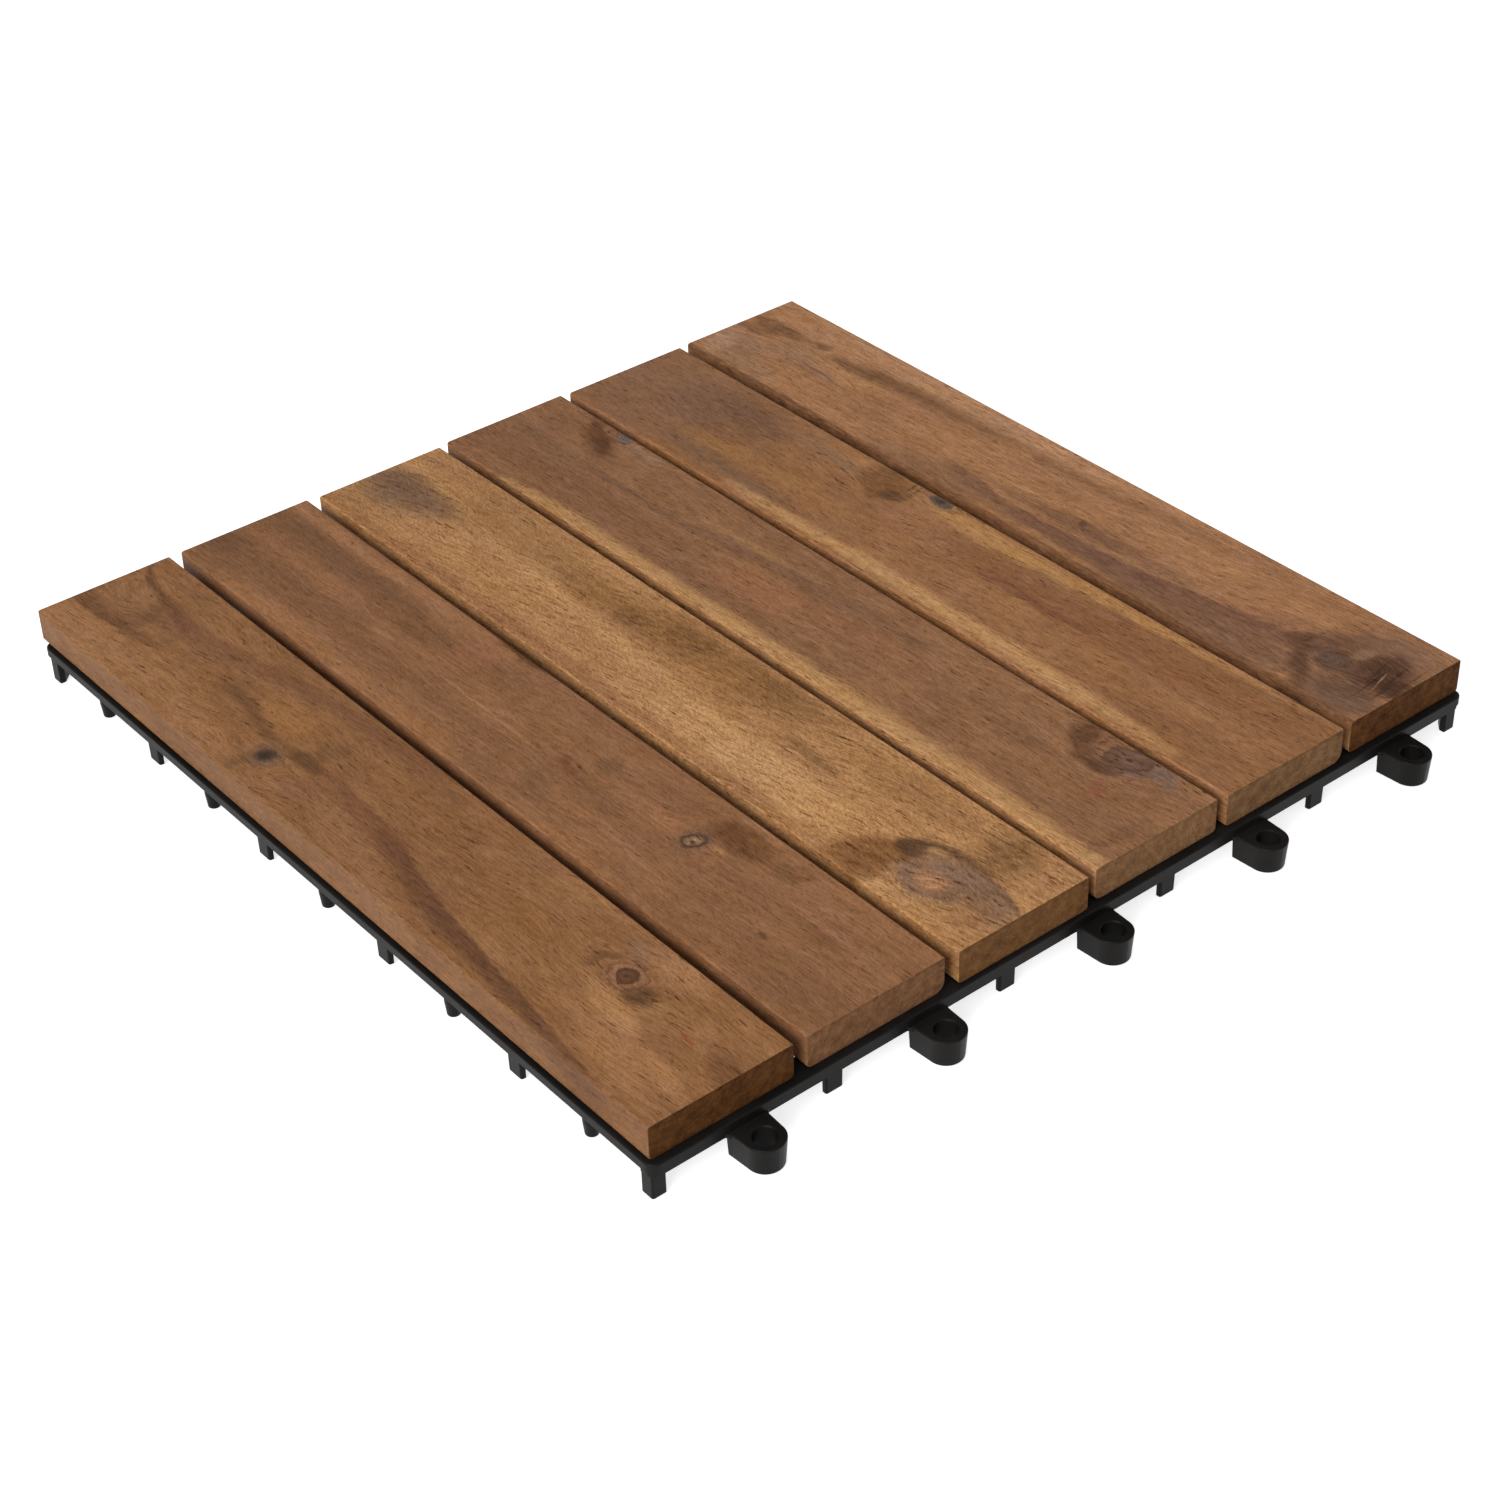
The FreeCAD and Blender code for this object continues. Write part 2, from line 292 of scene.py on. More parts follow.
class Wood(Graph):
    """One slat's wood, in millimetres from about the middle of its top. Its grain runs along x."""

    def __init__(self, name, centre, look, seed):
        super().__init__(bpy.data.materials.new(name))
        self.look = {**PLAIN_LOOK, **look}
        self.seed = seed
        coords = self.node("ShaderNodeTexCoord")
        self.nx, self.ny, _ = self.split(coords.outputs["Normal"])
        self.local = self.vector("SCALE", self.vector("SUBTRACT", coords.outputs["Object"], centre), MM)
        self.x, self.level_y, self.z = self.split(self.local)
        self.y = self.add(self.level_y, self.times(self.z, GRAIN_LEAN))
        grain = self.join(self.x, self.flow(), self.add(self.z, seed * SEED_STEP))

        self.broad = self.texture("broad", grain)
        self.streak = self.texture("streak", grain)
        self.cloud_tone, self.cloud_hue, _ = self.split(self.texture("cloud", grain, color=True))
        mottle = self.texture("mottle", grain, color=True)
        self.mottle_tone, self.mottle_hue, self.mottle_light = self.split(mottle)
        self.fibre = self.texture("fibre", grain)
        self.pores = self.ease(self.texture("dash", grain), *PORE_EDGE)
        self.grit = self.texture("grit", self.local)
        self.marks = self.texture("mark", self.turned(self.local, MARKS_TURN))

        shake = self.vector("SUBTRACT", self.texture("shake", self.local, color=True), (0.5, 0.5, 0.5))
        self.shake = self.vector("MULTIPLY", shake, SHAKE_REACH)
        texture = self.add(self.times(self.mottle_tone, EDGE_MOTTLE), self.times(self.grit, EDGE_GRIT))
        self.patchy = self.ease(texture, *PATCHY)
        self.speckle = self.ease(texture, *SPECKLE)

    def flow(self):
        """The grain lines: they wander, and run round each knot as water runs round a stone."""
        flow = self.y
        for kx, ky, reach, pull in self.look["swirl"]:
            dx = self.times(self.less(self.x, kx), SWIRL_STRETCH)
            dy = self.less(self.y, ky)
            r2 = self.add(self.times(dx, dx), self.times(dy, dy))
            fall = self.math("DIVIDE", reach * reach * pull, self.add(r2, reach * reach))
            flow = self.less(flow, self.times(dy, fall))
        wander = self.texture("wander", self.join(self.x, self.y, self.seed))
        flow = self.add(flow, self.swing(wander, WANDER))
        return self.add(flow, self.times(self.x, self.look["slope"]))

    def oval(self, place, at, radii, turn):
        """How far a place lies from the middle of a turned oval, in the oval's own radii."""
        here = self.vector("SUBTRACT", place, (*at, 0.0))
        if turn:
            here = self.turned(here, -turn)
        here = self.vector("MULTIPLY", here, (1.0 / radii[0], 1.0 / radii[1], 0.0))
        return self.vector("LENGTH", here)

    def band_mask(self, along, across, lean, line):
        """A band through (along, across, half width, strength), crisper on the side it leans to."""
        width = self.curve(along, [(p[0], p[2]) for p in line])
        width = self.math("MAXIMUM", width, BAND_MIN_WIDTH)
        off = self.less(across, self.curve(along, [(p[0], p[1]) for p in line]))
        off = self.math("DIVIDE", off, width)
        high = BAND_SOFT * (1.0 - lean)
        low = BAND_SOFT * (1.0 + lean)
        upper = self.ease(off, 1.0 + high, 1.0 - min(high, 1.0))
        lower = self.ease(off, -1.0 - low, -1.0 + min(low, 1.0))
        strength = self.curve(along, [(p[0], p[3]) for p in line], margin=0.1)
        mask = self.times(self.times(upper, lower), strength)
        start = self.ease(along, line[0][0] - BAND_END, line[0][0])
        stop = self.ease(along, line[-1][0] + BAND_END, line[-1][0])
        return self.times(mask, self.times(start, stop))

    def ground(self):
        """The slat's own run of tones, from dark to light."""
        tone = self.swing(self.broad, self.look["broad"])
        tone = self.add(tone, self.swing(self.streak, self.look["streak"]))
        tone = self.add(tone, self.swing(self.cloud_tone, self.look["cloud"]))
        return self.ramp(self.add(tone, 0.5), tuple(zip(TONE_STOPS, self.look["tones"])))

    def figured(self, color):
        """Bands and stains, whose wavy, slightly ragged edges follow the grain."""
        straight = self.join(self.x, self.y, 0.0)
        wavy = self.vector("ADD", straight, self.shake)
        x, y, _ = self.split(wavy)
        for tint, lean, line, arch in self.look["bands"]:
            along, across = (y, x) if arch else (x, y)
            mask = self.times(self.band_mask(along, across, lean, line), self.patchy)
            color = self.mix(mask, color, linear(tint))
        for tint, at, radii, strength, soft, turn, kind in self.look["stains"]:
            r = self.oval(straight if kind == "line" else wavy, at, radii, turn)
            mask = self.ease(r, 1.0 + soft, 1.0 - soft, 0.0, strength)
            mask = self.times(mask, self.speckle if kind == "speckled" else self.patchy, clamp=True)
            color = self.mix(mask, color, linear(tint))
        return color

    def knotted(self, color):
        """Knots: a heart, rings that fade outwards, and a coloured halo."""
        wobble = self.vector("SCALE", self.shake, KNOT_SHAKE)
        wobbly = self.vector("ADD", self.join(self.x, self.y, 0.0), wobble)
        least, more = KNOT_RAGGED
        ragged = self.add(least, self.times(self.add(self.mottle_light, self.marks), more))
        for k in self.look["knots"]:
            r = self.times(self.oval(wobbly, k["at"], k["radii"], k["turn"]), ragged)
            halo = self.ease(r, k["halo_reach"], HALO_FULL, 0.0, k["halo_strength"])
            color = self.mix(self.times(halo, self.patchy), color, linear(k["halo"]))
            wave = self.ease(self.math("SINE", self.times(r, k["rings"])), *RING_WAVE)
            rings = self.times(wave, self.ease(r, k["ring_reach"], RINGS_FULL, 0.0, RINGS_STRENGTH))
            color = self.mix(rings, color, linear(k["ring"]))
            edge = self.times(self.ease(r, *EDGE_REACH), self.patchy)
            color = self.mix(edge, color, linear(k["edge"]))
            heart = self.times(self.ease(r, *HEART_REACH), self.speckle, clamp=True)
            color = self.mix(heart, color, linear(k["heart"]))
            if k["pith"]:
                color = self.mix(self.ease(r, *PITH_REACH, 0.0, k["pith"]), color, linear(PITH_TINT))
        return color

    def grained(self, color):
        """Mottling shifts the hue a little, and fine fibres and pores lie over it."""
        warm = self.add(self.times(self.mottle_hue, WARM_MOTTLE), self.times(self.cloud_hue, WARM_CLOUD))
        warm = self.ease(warm, *WARM_EDGE)
        red = self.ease(warm, 0.0, 1.0, *RED_SHIFT, smooth=False)
        blue = self.ease(warm, 0.0, 1.0, *BLUE_SHIFT, smooth=False)
        color = self.shaded(color, red, 1.0, blue)
        fine = self.add(self.swing(self.mottle_light, self.look["mottle"]), 1.0)
        fine = self.add(fine, self.swing(self.fibre, self.look["fibre"]))
        fine = self.add(fine, self.swing(self.grit, self.look["grit"]))
        fine = self.add(fine, self.swing(self.marks, self.look["marks"]))
        fine = self.less(fine, self.times(self.pores, self.look["pores"]))
        green = self.math("POWER", fine, GREEN_FALL)
        return self.shaded(color, fine, green, self.math("POWER", fine, BLUE_FALL))

    def sawn(self, end_pores):
        """End grain: arcs of growth rings, open pores and saw marks."""
        pith_y, pith_z = self.look["pith"]
        section = self.join(0.0, self.less(self.level_y, pith_y), self.less(self.z, pith_z))
        wobble = self.times(self.texture("end_wobble", self.local), END_WOBBLE)
        radius = self.add(self.vector("LENGTH", section), wobble)
        rings = self.texture("end_ring", self.join(radius, self.seed * END_SEED_STEP, 0.0))
        blotch = self.texture("end_blotch", self.local)
        tone = self.add(self.times(rings, END_WEIGHTS["ring"]), self.times(blotch, END_WEIGHTS["blotch"]))
        dark, light = self.look["end"]
        color = self.mix(self.ease(tone, *END_TONE_EDGE), linear(dark), linear(light))
        cut = self.add(END_SHADE, self.times(self.texture("saw", self.local), END_WEIGHTS["saw"]))
        cut = self.less(cut, self.times(end_pores, END_WEIGHTS["pore"]))
        cut = self.add(cut, self.swing(self.grit, END_WEIGHTS["grit"]))
        low, high, shade = END_TOP
        cut = self.times(cut, self.ease(self.z, low, high, 1.0, shade))
        return self.shaded(color, cut, cut, cut)

    def build(self):
        """The whole material: the top's figure, painted light and shade on the -Y side, and the sawn ends.
        """
        color = self.grained(self.knotted(self.figured(self.ground())))
        # Painted light and shade: the -Y side's colour is multiplied by the look's side factor.
        side = self.ease(self.ny, -FACING[0], -FACING[1], 1.0, self.look["side"])
        color = self.shaded(color, side, side, side)
        end = self.ease(self.math("ABSOLUTE", self.nx), *FACING)
        end_pores = self.ease(self.texture("end_pore", self.local), *END_PORE_EDGE)
        color = self.mix(end, color, self.sawn(end_pores))
        along = self.times(self.fibre, RELIEF["fibre"])
        along = self.less(along, self.times(self.pores, RELIEF["pore"]))
        across = self.times(self.grit, RELIEF["end_grit"])
        across = self.less(across, self.times(end_pores, RELIEF["end_pore"]))
        relief = self.between(end, along, across)
        rough = self.ease(self.fibre, *FIBRE_RANGE, *WOOD_ROUGH, smooth=False)
        rough = self.add(rough, self.times(end, END_ROUGH))
        return self.surface(color, rough, relief, WOOD_BUMP, WOOD_BUMP_STRENGTH,
                            Specular_IOR_Level=WOOD_SPECULAR)


def band(tint, lean, *line, arch=False):
    """A band along x, or an arch across the slat, through (along, across, half width, strength) points."""
    return tint, lean, line, arch


def stain(tint, at, radii, strength, soft, turn=0, kind="plain"):
    """An oval stain with a soft edge: plain, speckled, or a straight-edged line."""
    return tint, at, radii, strength, soft, turn, kind


def knot(at, radii, heart, edge, ring, halo, turn=0, rings=7.0, ring_reach=3.0, halo_reach=3.2,
         halo_strength=0.6, pith=0.0):
    """A knot's place, the colours of its parts, how close its rings lie and how far it reaches."""
    return {"at": at, "radii": radii, "turn": turn, "heart": heart, "edge": edge, "ring": ring,
            "halo": halo, "rings": rings, "ring_reach": ring_reach, "halo_reach": halo_reach,
            "halo_strength": halo_strength, "pith": pith}


# Each slat's look, from -Y to +Y. Tones and ends run from dark to light.
# Its places are counted along X from middle_x, and across it from the middle of its share of the row.
# Places are (along, across) in millimetres, the pith's is (across, up), and a swirl has a reach and a pull.
looks = {
    "slat_1": {
        "middle_x": -1.7,
        "tones": ((118, 79, 48), (138, 96, 61), (156, 112, 72)),
        "end": ((62, 33, 10), (110, 68, 28)),
        "pith": (-14.0, 26.0),
        # Painted shade: this slat's -Y side is darkened.
        "side": 0.88,
        "swirl": ((-40.3, -11.0, 5.0, 0.9), (102.0, 7.6, 7.0, 0.95), (-150.0, 0.0, 14.0, 0.8)),
        "bands": (
            band((94, 61, 41), 0.1, (-151.0, 17.0, 0.9, 0.7), (-144.5, 12.4, 1.3, 0.85),
                 (-139.5, 10.7, 1.5, 0.85), (-130.0, 9.0, 1.9, 0.85), (-118.0, 7.4, 2.2, 0.75),
                 (-108.0, 6.8, 2.4, 0.0)),
            band((116, 76, 52), 0.45, (-128.0, 6.0, 3.0, 0.1), (-112.0, 5.6, 4.4, 0.75),
                 (-94.0, 7.6, 4.4, 0.75), (-79.0, 11.0, 3.4, 0.85), (-60.0, 15.2, 2.8, 0.85),
                 (-40.0, 17.6, 2.4, 0.75), (-10.0, 18.4, 2.4, 0.6), (20.0, 17.7, 2.0, 0.3),
                 (60.0, 17.0, 2.0, 0.0)),
            band((100, 66, 42), -0.55, (-151.0, -9.2, 2.6, 0.9), (-140.0, -8.6, 2.6, 0.85),
                 (-126.0, -7.8, 2.4, 0.85), (-114.0, -5.8, 2.4, 0.6), (-104.0, -2.6, 2.6, 0.0)),
            band((104, 71, 45), 0.1, (-84.0, -1.4, 1.5, 0.0), (-76.0, -1.2, 2.0, 0.6),
                 (-66.7, -0.6, 2.2, 0.85), (-59.0, -2.6, 2.2, 0.85), (-47.0, -5.0, 1.7, 0.7),
                 (-41.0, -5.4, 1.4, 0.0)),
            band((114, 74, 50), 0.5, (-30.0, -3.4, 2.0, 0.0), (-18.0, -3.6, 2.4, 0.65),
                 (0.0, -5.0, 2.9, 0.8), (14.0, -6.2, 3.2, 0.85), (26.0, -9.2, 3.4, 0.6),
                 (36.0, -12.0, 3.0, 0.0)),
            band((94, 61, 41), 0.62, (6.0, -6.6, 2.0, 0.1), (22.0, -8.6, 2.9, 0.75),
                 (40.0, -12.8, 3.0, 0.95), (52.0, -15.0, 2.8, 1.0), (66.0, -16.7, 2.5, 1.0),
                 (82.0, -18.4, 2.3, 0.95), (100.0, -20.4, 2.2, 0.85), (116.0, -22.6, 2.2, 0.7),
                 (132.0, -24.5, 2.2, 0.0)),
            band((104, 70, 47), 0.1, (-9.0, -131.0, 3.8, 0.55), (-5.0, -127.0, 4.0, 0.65),
                 (0.0, -125.4, 4.0, 0.65), (4.0, -127.0, 3.6, 0.6), (8.0, -130.0, 3.0, 0.5), arch=True),
        ),
        "stains": (
            stain((140, 99, 66), (-141.0, 0.5), (9.0, 6.0), 0.7, 0.5),
            stain((158, 110, 62), (-50.8, 4.4), (13.0, 5.4), 0.7, 0.6, turn=-4),
            stain((170, 124, 82), (110.0, -3.4), (12.0, 3.4), 0.85, 0.6, turn=-10),
            stain((164, 118, 76), (137.0, -8.6), (12.0, 2.6), 0.6, 0.6, turn=-14),
            stain((134, 92, 52), (64.0, 0.5), (26.0, 7.0), 0.55, 0.6, turn=-3),
            stain((154, 110, 76), (-128.0, -17.4), (40.0, 4.4), 0.65, 0.5, turn=4),
            stain((152, 108, 74), (12.0, -18.0), (30.0, 5.0), 0.6, 0.5, turn=-12),
            stain((86, 60, 37), (-30.7, -3.7), (7.8, 2.6), 0.95, 0.5, turn=4),
            stain((106, 76, 45), (-30.0, 2.8), (4.2, 4.2), 0.65, 0.5),
            stain((106, 76, 45), (-44.2, -17.6), (2.6, 4.2), 0.75, 0.4),
            stain((130, 88, 64), (-22.0, -13.0), (9.0, 5.0), 0.45, 0.6),
            stain((112, 73, 46), (0.0, 1.0), (62.0, 22.0), 0.35, 0.8),
            stain((86, 60, 36), (109.4, 5.2), (4.8, 4.0), 0.95, 0.45, turn=20),
            stain((104, 71, 44), (92.0, 7.6), (2.0, 5.4), 0.85, 0.55, turn=-22),
            stain((138, 78, 50), (130.6, 3.9), (2.8, 0.6), 0.9, 0.4, turn=-5),
            stain((110, 72, 46), (124.6, 4.6), (5.0, 0.35), 0.8, 0.4, turn=-5),
            stain((108, 72, 46), (145.0, 3.8), (7.0, 4.0), 0.75, 0.5, turn=-14),
            stain((132, 99, 78), (98.4, 14.6), (6.6, 3.0), 0.7, 0.6, turn=-32),
            stain((168, 121, 84), (110.0, 18.4), (11.0, 4.4), 0.7, 0.6),
            stain((164, 118, 82), (-67.0, -18.4), (18.0, 4.4), 0.55, 0.6),
            stain((168, 120, 80), (125.0, -12.0), (16.0, 6.0), 0.5, 0.6, turn=-6),
        ),
        "knots": (
            knot((-40.3, -10.9), (3.7, 3.2), heart=(54, 44, 39), edge=(84, 63, 49), ring=(102, 74, 55),
                 halo=(120, 87, 63), turn=20, rings=5.0, ring_reach=2.2, halo_reach=2.2,
                 halo_strength=0.95, pith=0.3),
            knot((102.2, 7.5), (3.2, 2.8), heart=(104, 70, 48), edge=(76, 50, 34), ring=(86, 56, 38),
                 halo=(140, 97, 68), turn=-10, rings=8.0, ring_reach=3.4, halo_reach=2.7,
                 halo_strength=0.9, pith=0.5),
        ),
    },
    "slat_2": {
        "middle_x": -1.8,
        "tones": ((120, 82, 54), (136, 94, 63), (152, 107, 73)),
        "end": ((108, 72, 45), (154, 110, 76)),
        "pith": (20.0, -22.0),
        "swirl": ((69.4, 5.0, 4.0, 0.9), (20.0, 2.0, 4.0, 0.4), (-38.0, 24.0, 6.0, 0.5)),
        "bands": (
            band((110, 77, 52), 0.5, (-151.0, 11.0, 4.0, 0.6), (-138.0, 11.4, 4.6, 0.85),
                 (-112.0, 11.0, 4.2, 0.8), (-80.0, 11.2, 3.4, 0.7), (-56.0, 9.0, 3.0, 0.6),
                 (-30.0, 8.0, 3.0, 0.0)),
            band((112, 77, 51), 0.0, (-151.0, -8.0, 5.0, 0.8), (-120.0, -8.4, 5.4, 0.75),
                 (-90.0, -7.2, 5.0, 0.7), (-60.0, -7.0, 4.0, 0.5), (-30.0, -8.0, 4.0, 0.35),
                 (0.0, -9.0, 4.0, 0.0)),
            band((156, 111, 78), -0.3, (-151.0, 19.0, 1.8, 0.6), (-120.0, 19.0, 2.2, 0.75),
                 (-80.0, 19.4, 2.2, 0.75), (-50.0, 19.8, 2.0, 0.45), (-30.0, 20.0, 1.6, 0.0)),
            band((158, 110, 68), 0.1, (-151.0, -21.6, 1.4, 0.3), (-124.0, -20.6, 2.0, 0.5),
                 (-96.0, -20.0, 2.4, 0.5), (-60.0, -20.4, 2.2, 0.4), (-20.0, -20.4, 2.2, 0.35),
                 (20.0, -21.0, 2.0, 0.3), (60.0, -21.5, 1.6, 0.2), (100.0, -21.5, 1.2, 0.0)),
            band((162, 120, 84), 0.0, (-42.0, -1.2, 0.3, 0.3), (-20.0, -1.6, 0.4, 0.7),
                 (0.0, -1.9, 0.3, 0.5), (14.0, -2.2, 0.3, 0.0)),
            band((122, 84, 56), 0.2, (60.0, -10.0, 2.0, 0.0), (84.0, -8.6, 3.0, 0.5),
                 (120.0, -10.0, 4.0, 0.6), (151.0, -10.0, 4.0, 0.7)),
        ),
        "stains": (
            stain((96, 61, 34), (78.6, 14.6), (11.0, 5.4), 1.0, 0.4, turn=3, kind="speckled"),
            stain((104, 66, 38), (74.6, 16.4), (7.0, 4.0), 0.7, 0.4, turn=3),
            stain((134, 90, 50), (81.6, 17.2), (3.6, 1.4), 0.7, 0.5, turn=10),
            stain((106, 72, 42), (95.8, 14.4), (4.2, 3.0), 0.75, 0.45),
            stain((110, 72, 44), (101.4, 15.8), (1.4, 3.4), 0.7, 0.45, turn=-10),
            stain((112, 70, 46), (20.0, -0.6), (4.6, 1.8), 0.9, 0.5, turn=-14),
            stain((104, 70, 47), (24.0, 1.8), (5.0, 0.7), 0.8, 0.5, turn=-8, kind="speckled"),
            stain((106, 72, 48), (27.0, 9.6), (3.6, 3.4), 0.6, 0.5, turn=20, kind="speckled"),
            stain((96, 60, 42), (16.6, 2.3), (1.8, 0.6), 0.85, 0.4, turn=-6),
            stain((112, 80, 56), (20.9, -12.6), (8.0, 4.6), 0.75, 0.55, turn=-20, kind="speckled"),
            stain((108, 77, 54), (43.0, -4.2), (6.0, 2.2), 0.6, 0.5, kind="speckled"),
            stain((110, 79, 54), (28.0, 7.4), (5.0, 3.0), 0.55, 0.5, kind="speckled"),
            stain((112, 78, 52), (-141.0, -18.6), (13.0, 5.4), 0.6, 0.6),
            stain((113, 78, 52), (138.0, -18.0), (18.0, 5.4), 0.6, 0.6),
            stain((114, 78, 52), (7.0, -18.6), (15.0, 5.0), 0.5, 0.6),
            stain((86, 60, 44), (111.7, -6.5), (2.4, 0.9), 0.9, 0.4, turn=-10),
            stain((160, 112, 80), (122.6, 7.8), (16.0, 1.5), 0.45, 0.6, kind="speckled"),
            stain((116, 78, 54), (124.0, 5.0), (9.0, 1.0), 0.6, 0.6),
            stain((78, 48, 26), (-33.0, 22.6), (11.0, 1.5), 0.95, 0.35),
            stain((150, 98, 68), (-43.0, 12.0), (7.0, 8.0), 0.5, 0.6),
            stain((106, 72, 46), (-64.8, 4.9), (10.0, 2.4), 0.6, 0.5),
            stain((106, 74, 50), (-146.0, -11.0), (8.0, 5.0), 0.7, 0.5),
            stain((156, 108, 74), (52.0, 4.0), (14.0, 3.0), 0.55, 0.6),
            stain((158, 116, 84), (-70.0, -1.6), (5.0, 0.9), 0.6, 0.5),
            stain((164, 118, 80), (76.0, 7.4), (4.4, 0.8), 0.7, 0.5, turn=4),
        ),
        "knots": (
            knot((69.5, 5.0), (2.9, 3.7), heart=(164, 129, 98), edge=(72, 51, 43), ring=(92, 67, 52),
                 halo=(112, 82, 63), turn=-14, rings=4.0, ring_reach=1.5, halo_reach=2.2,
                 halo_strength=0.9),
        ),
    },
    "slat_3": {
        "middle_x": -0.9,
        "tones": ((145, 103, 64), (168, 122, 79), (185, 138, 91)),
        "end": ((98, 64, 34), (140, 98, 58)),
        "pith": (6.0, 24.0),
        "slope": -0.12,
        "mottle": 0.7,
        "fibre": 1.15,
        "pores": 0.6,
        "grit": 0.95,
        "marks": 1.25,
        "swirl": ((122.6, -8.2, 11.0, 0.9), (-140.0, -2.0, 8.0, 0.7)),
        "bands": (
            band((88, 60, 40), 0.2, (110.6, 0.4, 1.2, 0.2), (113.6, 2.4, 1.6, 0.95),
                 (119.0, 3.6, 1.9, 1.0), (126.0, 3.6, 2.0, 0.95), (132.6, 2.4, 1.5, 0.85),
                 (141.0, 0.6, 0.9, 0.8), (151.0, -1.6, 0.7, 0.7)),
            band((188, 142, 94), 0.0, (-151.0, 9.0, 1.2, 0.4), (-130.0, 9.0, 1.4, 0.7),
                 (-112.0, 5.6, 1.6, 0.6), (-90.0, 1.8, 2.0, 0.3), (-60.0, 1.0, 2.4, 0.5),
                 (-20.0, -3.0, 3.0, 0.5), (20.0, -4.6, 3.0, 0.6), (60.0, -6.4, 3.0, 0.6),
                 (100.0, -4.4, 2.6, 0.4)),
            band((134, 88, 56), 0.0, (-151.0, -21.0, 2.0, 0.4), (-110.0, -21.0, 2.4, 0.6),
                 (-60.0, -20.6, 2.4, 0.6), (-10.0, -20.6, 2.4, 0.6), (40.0, -20.4, 2.4, 0.5),
                 (90.0, -21.0, 1.6, 0.0)),
        ),
        "stains": (
            stain((120, 90, 66), (-137.0, -1.6), (17.0, 9.4), 1.0, 0.55, turn=3),
            stain((120, 89, 64), (-122.0, 0.8), (14.0, 5.4), 0.8, 0.6, turn=6),
            stain((110, 82, 60), (-140.0, 0.0), (9.0, 5.4), 0.6, 0.6, kind="speckled"),
            stain((138, 96, 57), (2.0, 12.4), (60.0, 9.4), 0.45, 0.6, kind="speckled"),
            stain((126, 87, 49), (-15.0, 11.4), (19.0, 8.8), 0.85, 0.6, turn=2, kind="speckled"),
            stain((130, 90, 52), (22.0, 15.4), (28.0, 6.4), 0.6, 0.6, turn=-2, kind="speckled"),
            stain((110, 74, 40), (-29.0, 9.0), (7.0, 4.4), 0.75, 0.6, kind="speckled"),
            stain((112, 75, 41), (-6.0, 14.0), (10.0, 4.6), 0.65, 0.6, kind="speckled"),
            stain((116, 80, 45), (28.0, 18.0), (21.0, 3.8), 0.6, 0.6, turn=-3, kind="speckled"),
            stain((134, 92, 52), (20.0, 9.0), (22.0, 6.0), 0.6, 0.6, kind="speckled"),
            stain((196, 149, 100), (46.0, -11.0), (42.0, 7.0), 0.55, 0.6),
            stain((178, 132, 86), (78.0, 10.0), (18.0, 6.0), 0.5, 0.6),
            stain((116, 80, 45), (60.0, 3.8), (11.0, 1.8), 0.7, 0.6, turn=-4, kind="speckled"),
            stain((132, 92, 52), (-49.0, 8.6), (14.0, 5.6), 0.8, 0.5, kind="speckled"),
            stain((138, 98, 58), (-88.0, 12.0), (34.0, 9.0), 0.6, 0.6, kind="speckled"),
            stain((116, 82, 50), (129.0, 13.4), (8.4, 9.6), 0.95, 0.6, turn=10, kind="speckled"),
            stain((140, 98, 58), (90.0, 14.0), (24.0, 7.0), 0.6, 0.6, kind="speckled"),
            stain((126, 83, 46), (103.4, -13.4), (13.4, 6.8), 0.95, 0.35, turn=47),
            stain((120, 80, 45), (106.4, -18.0), (6.2, 6.8), 0.85, 0.3),
            stain((82, 55, 34), (109.4, -2.6), (5.2, 4.2), 1.0, 0.4, turn=48),
            stain((124, 94, 74), (138.0, -3.4), (13.0, 5.6), 0.95, 0.5, turn=-12),
            stain((130, 99, 76), (123.0, -1.8), (9.0, 3.4), 0.8, 0.5, turn=4),
            stain((138, 99, 68), (141.0, -11.4), (9.0, 6.0), 0.7, 0.6),
        ),
        "knots": (
            knot((123.2, -9.0), (8.4, 6.0), heart=(164, 116, 80), edge=(130, 98, 76), ring=(114, 87, 69),
                 halo=(122, 93, 74), turn=8, rings=4.4, ring_reach=1.9, halo_reach=1.7,
                 halo_strength=0.95),
        ),
    },
    "slat_4": {
        "middle_x": -2.0,
        "tones": ((120, 83, 56), (138, 97, 66), (154, 111, 77)),
        "end": ((118, 82, 52), (164, 122, 84)),
        "pith": (-26.0, -18.0),
        # Painted light: this slat's -Y side is lightened.
        "side": 1.15,
        "fibre": 1.4,
        "pores": 0.68,
        "marks": 0.6,
        "swirl": ((120.2, 18.3, 8.0, 0.95), (-113.6, 21.3, 7.0, 0.8)),
        "bands": (
            band((182, 137, 88), -0.1, (-122.0, -22.9, 1.0, 0.0), (-108.0, -22.0, 1.8, 0.7),
                 (-80.0, -21.2, 2.4, 0.9), (-30.0, -21.0, 2.6, 0.95), (20.0, -20.7, 3.0, 1.0),
                 (70.0, -20.6, 3.2, 1.0), (120.0, -21.0, 3.0, 1.0), (151.0, -21.4, 2.6, 0.95)),
            band((112, 80, 60), 0.0, (-151.0, 3.0, 3.0, 0.6), (-120.0, 1.0, 3.0, 0.5),
                 (-93.0, 2.2, 1.4, 0.8), (-75.0, 2.0, 1.3, 0.75), (-58.0, 2.8, 1.6, 0.6),
                 (-42.0, 5.4, 2.2, 0.5), (-26.0, 7.6, 2.8, 0.5), (-5.0, 9.4, 3.6, 0.5),
                 (20.0, 11.6, 4.0, 0.45), (50.0, 12.0, 3.4, 0.0)),
            band((158, 116, 76), 0.0, (-60.0, 9.0, 1.2, 0.0), (-42.0, 10.4, 1.4, 0.7),
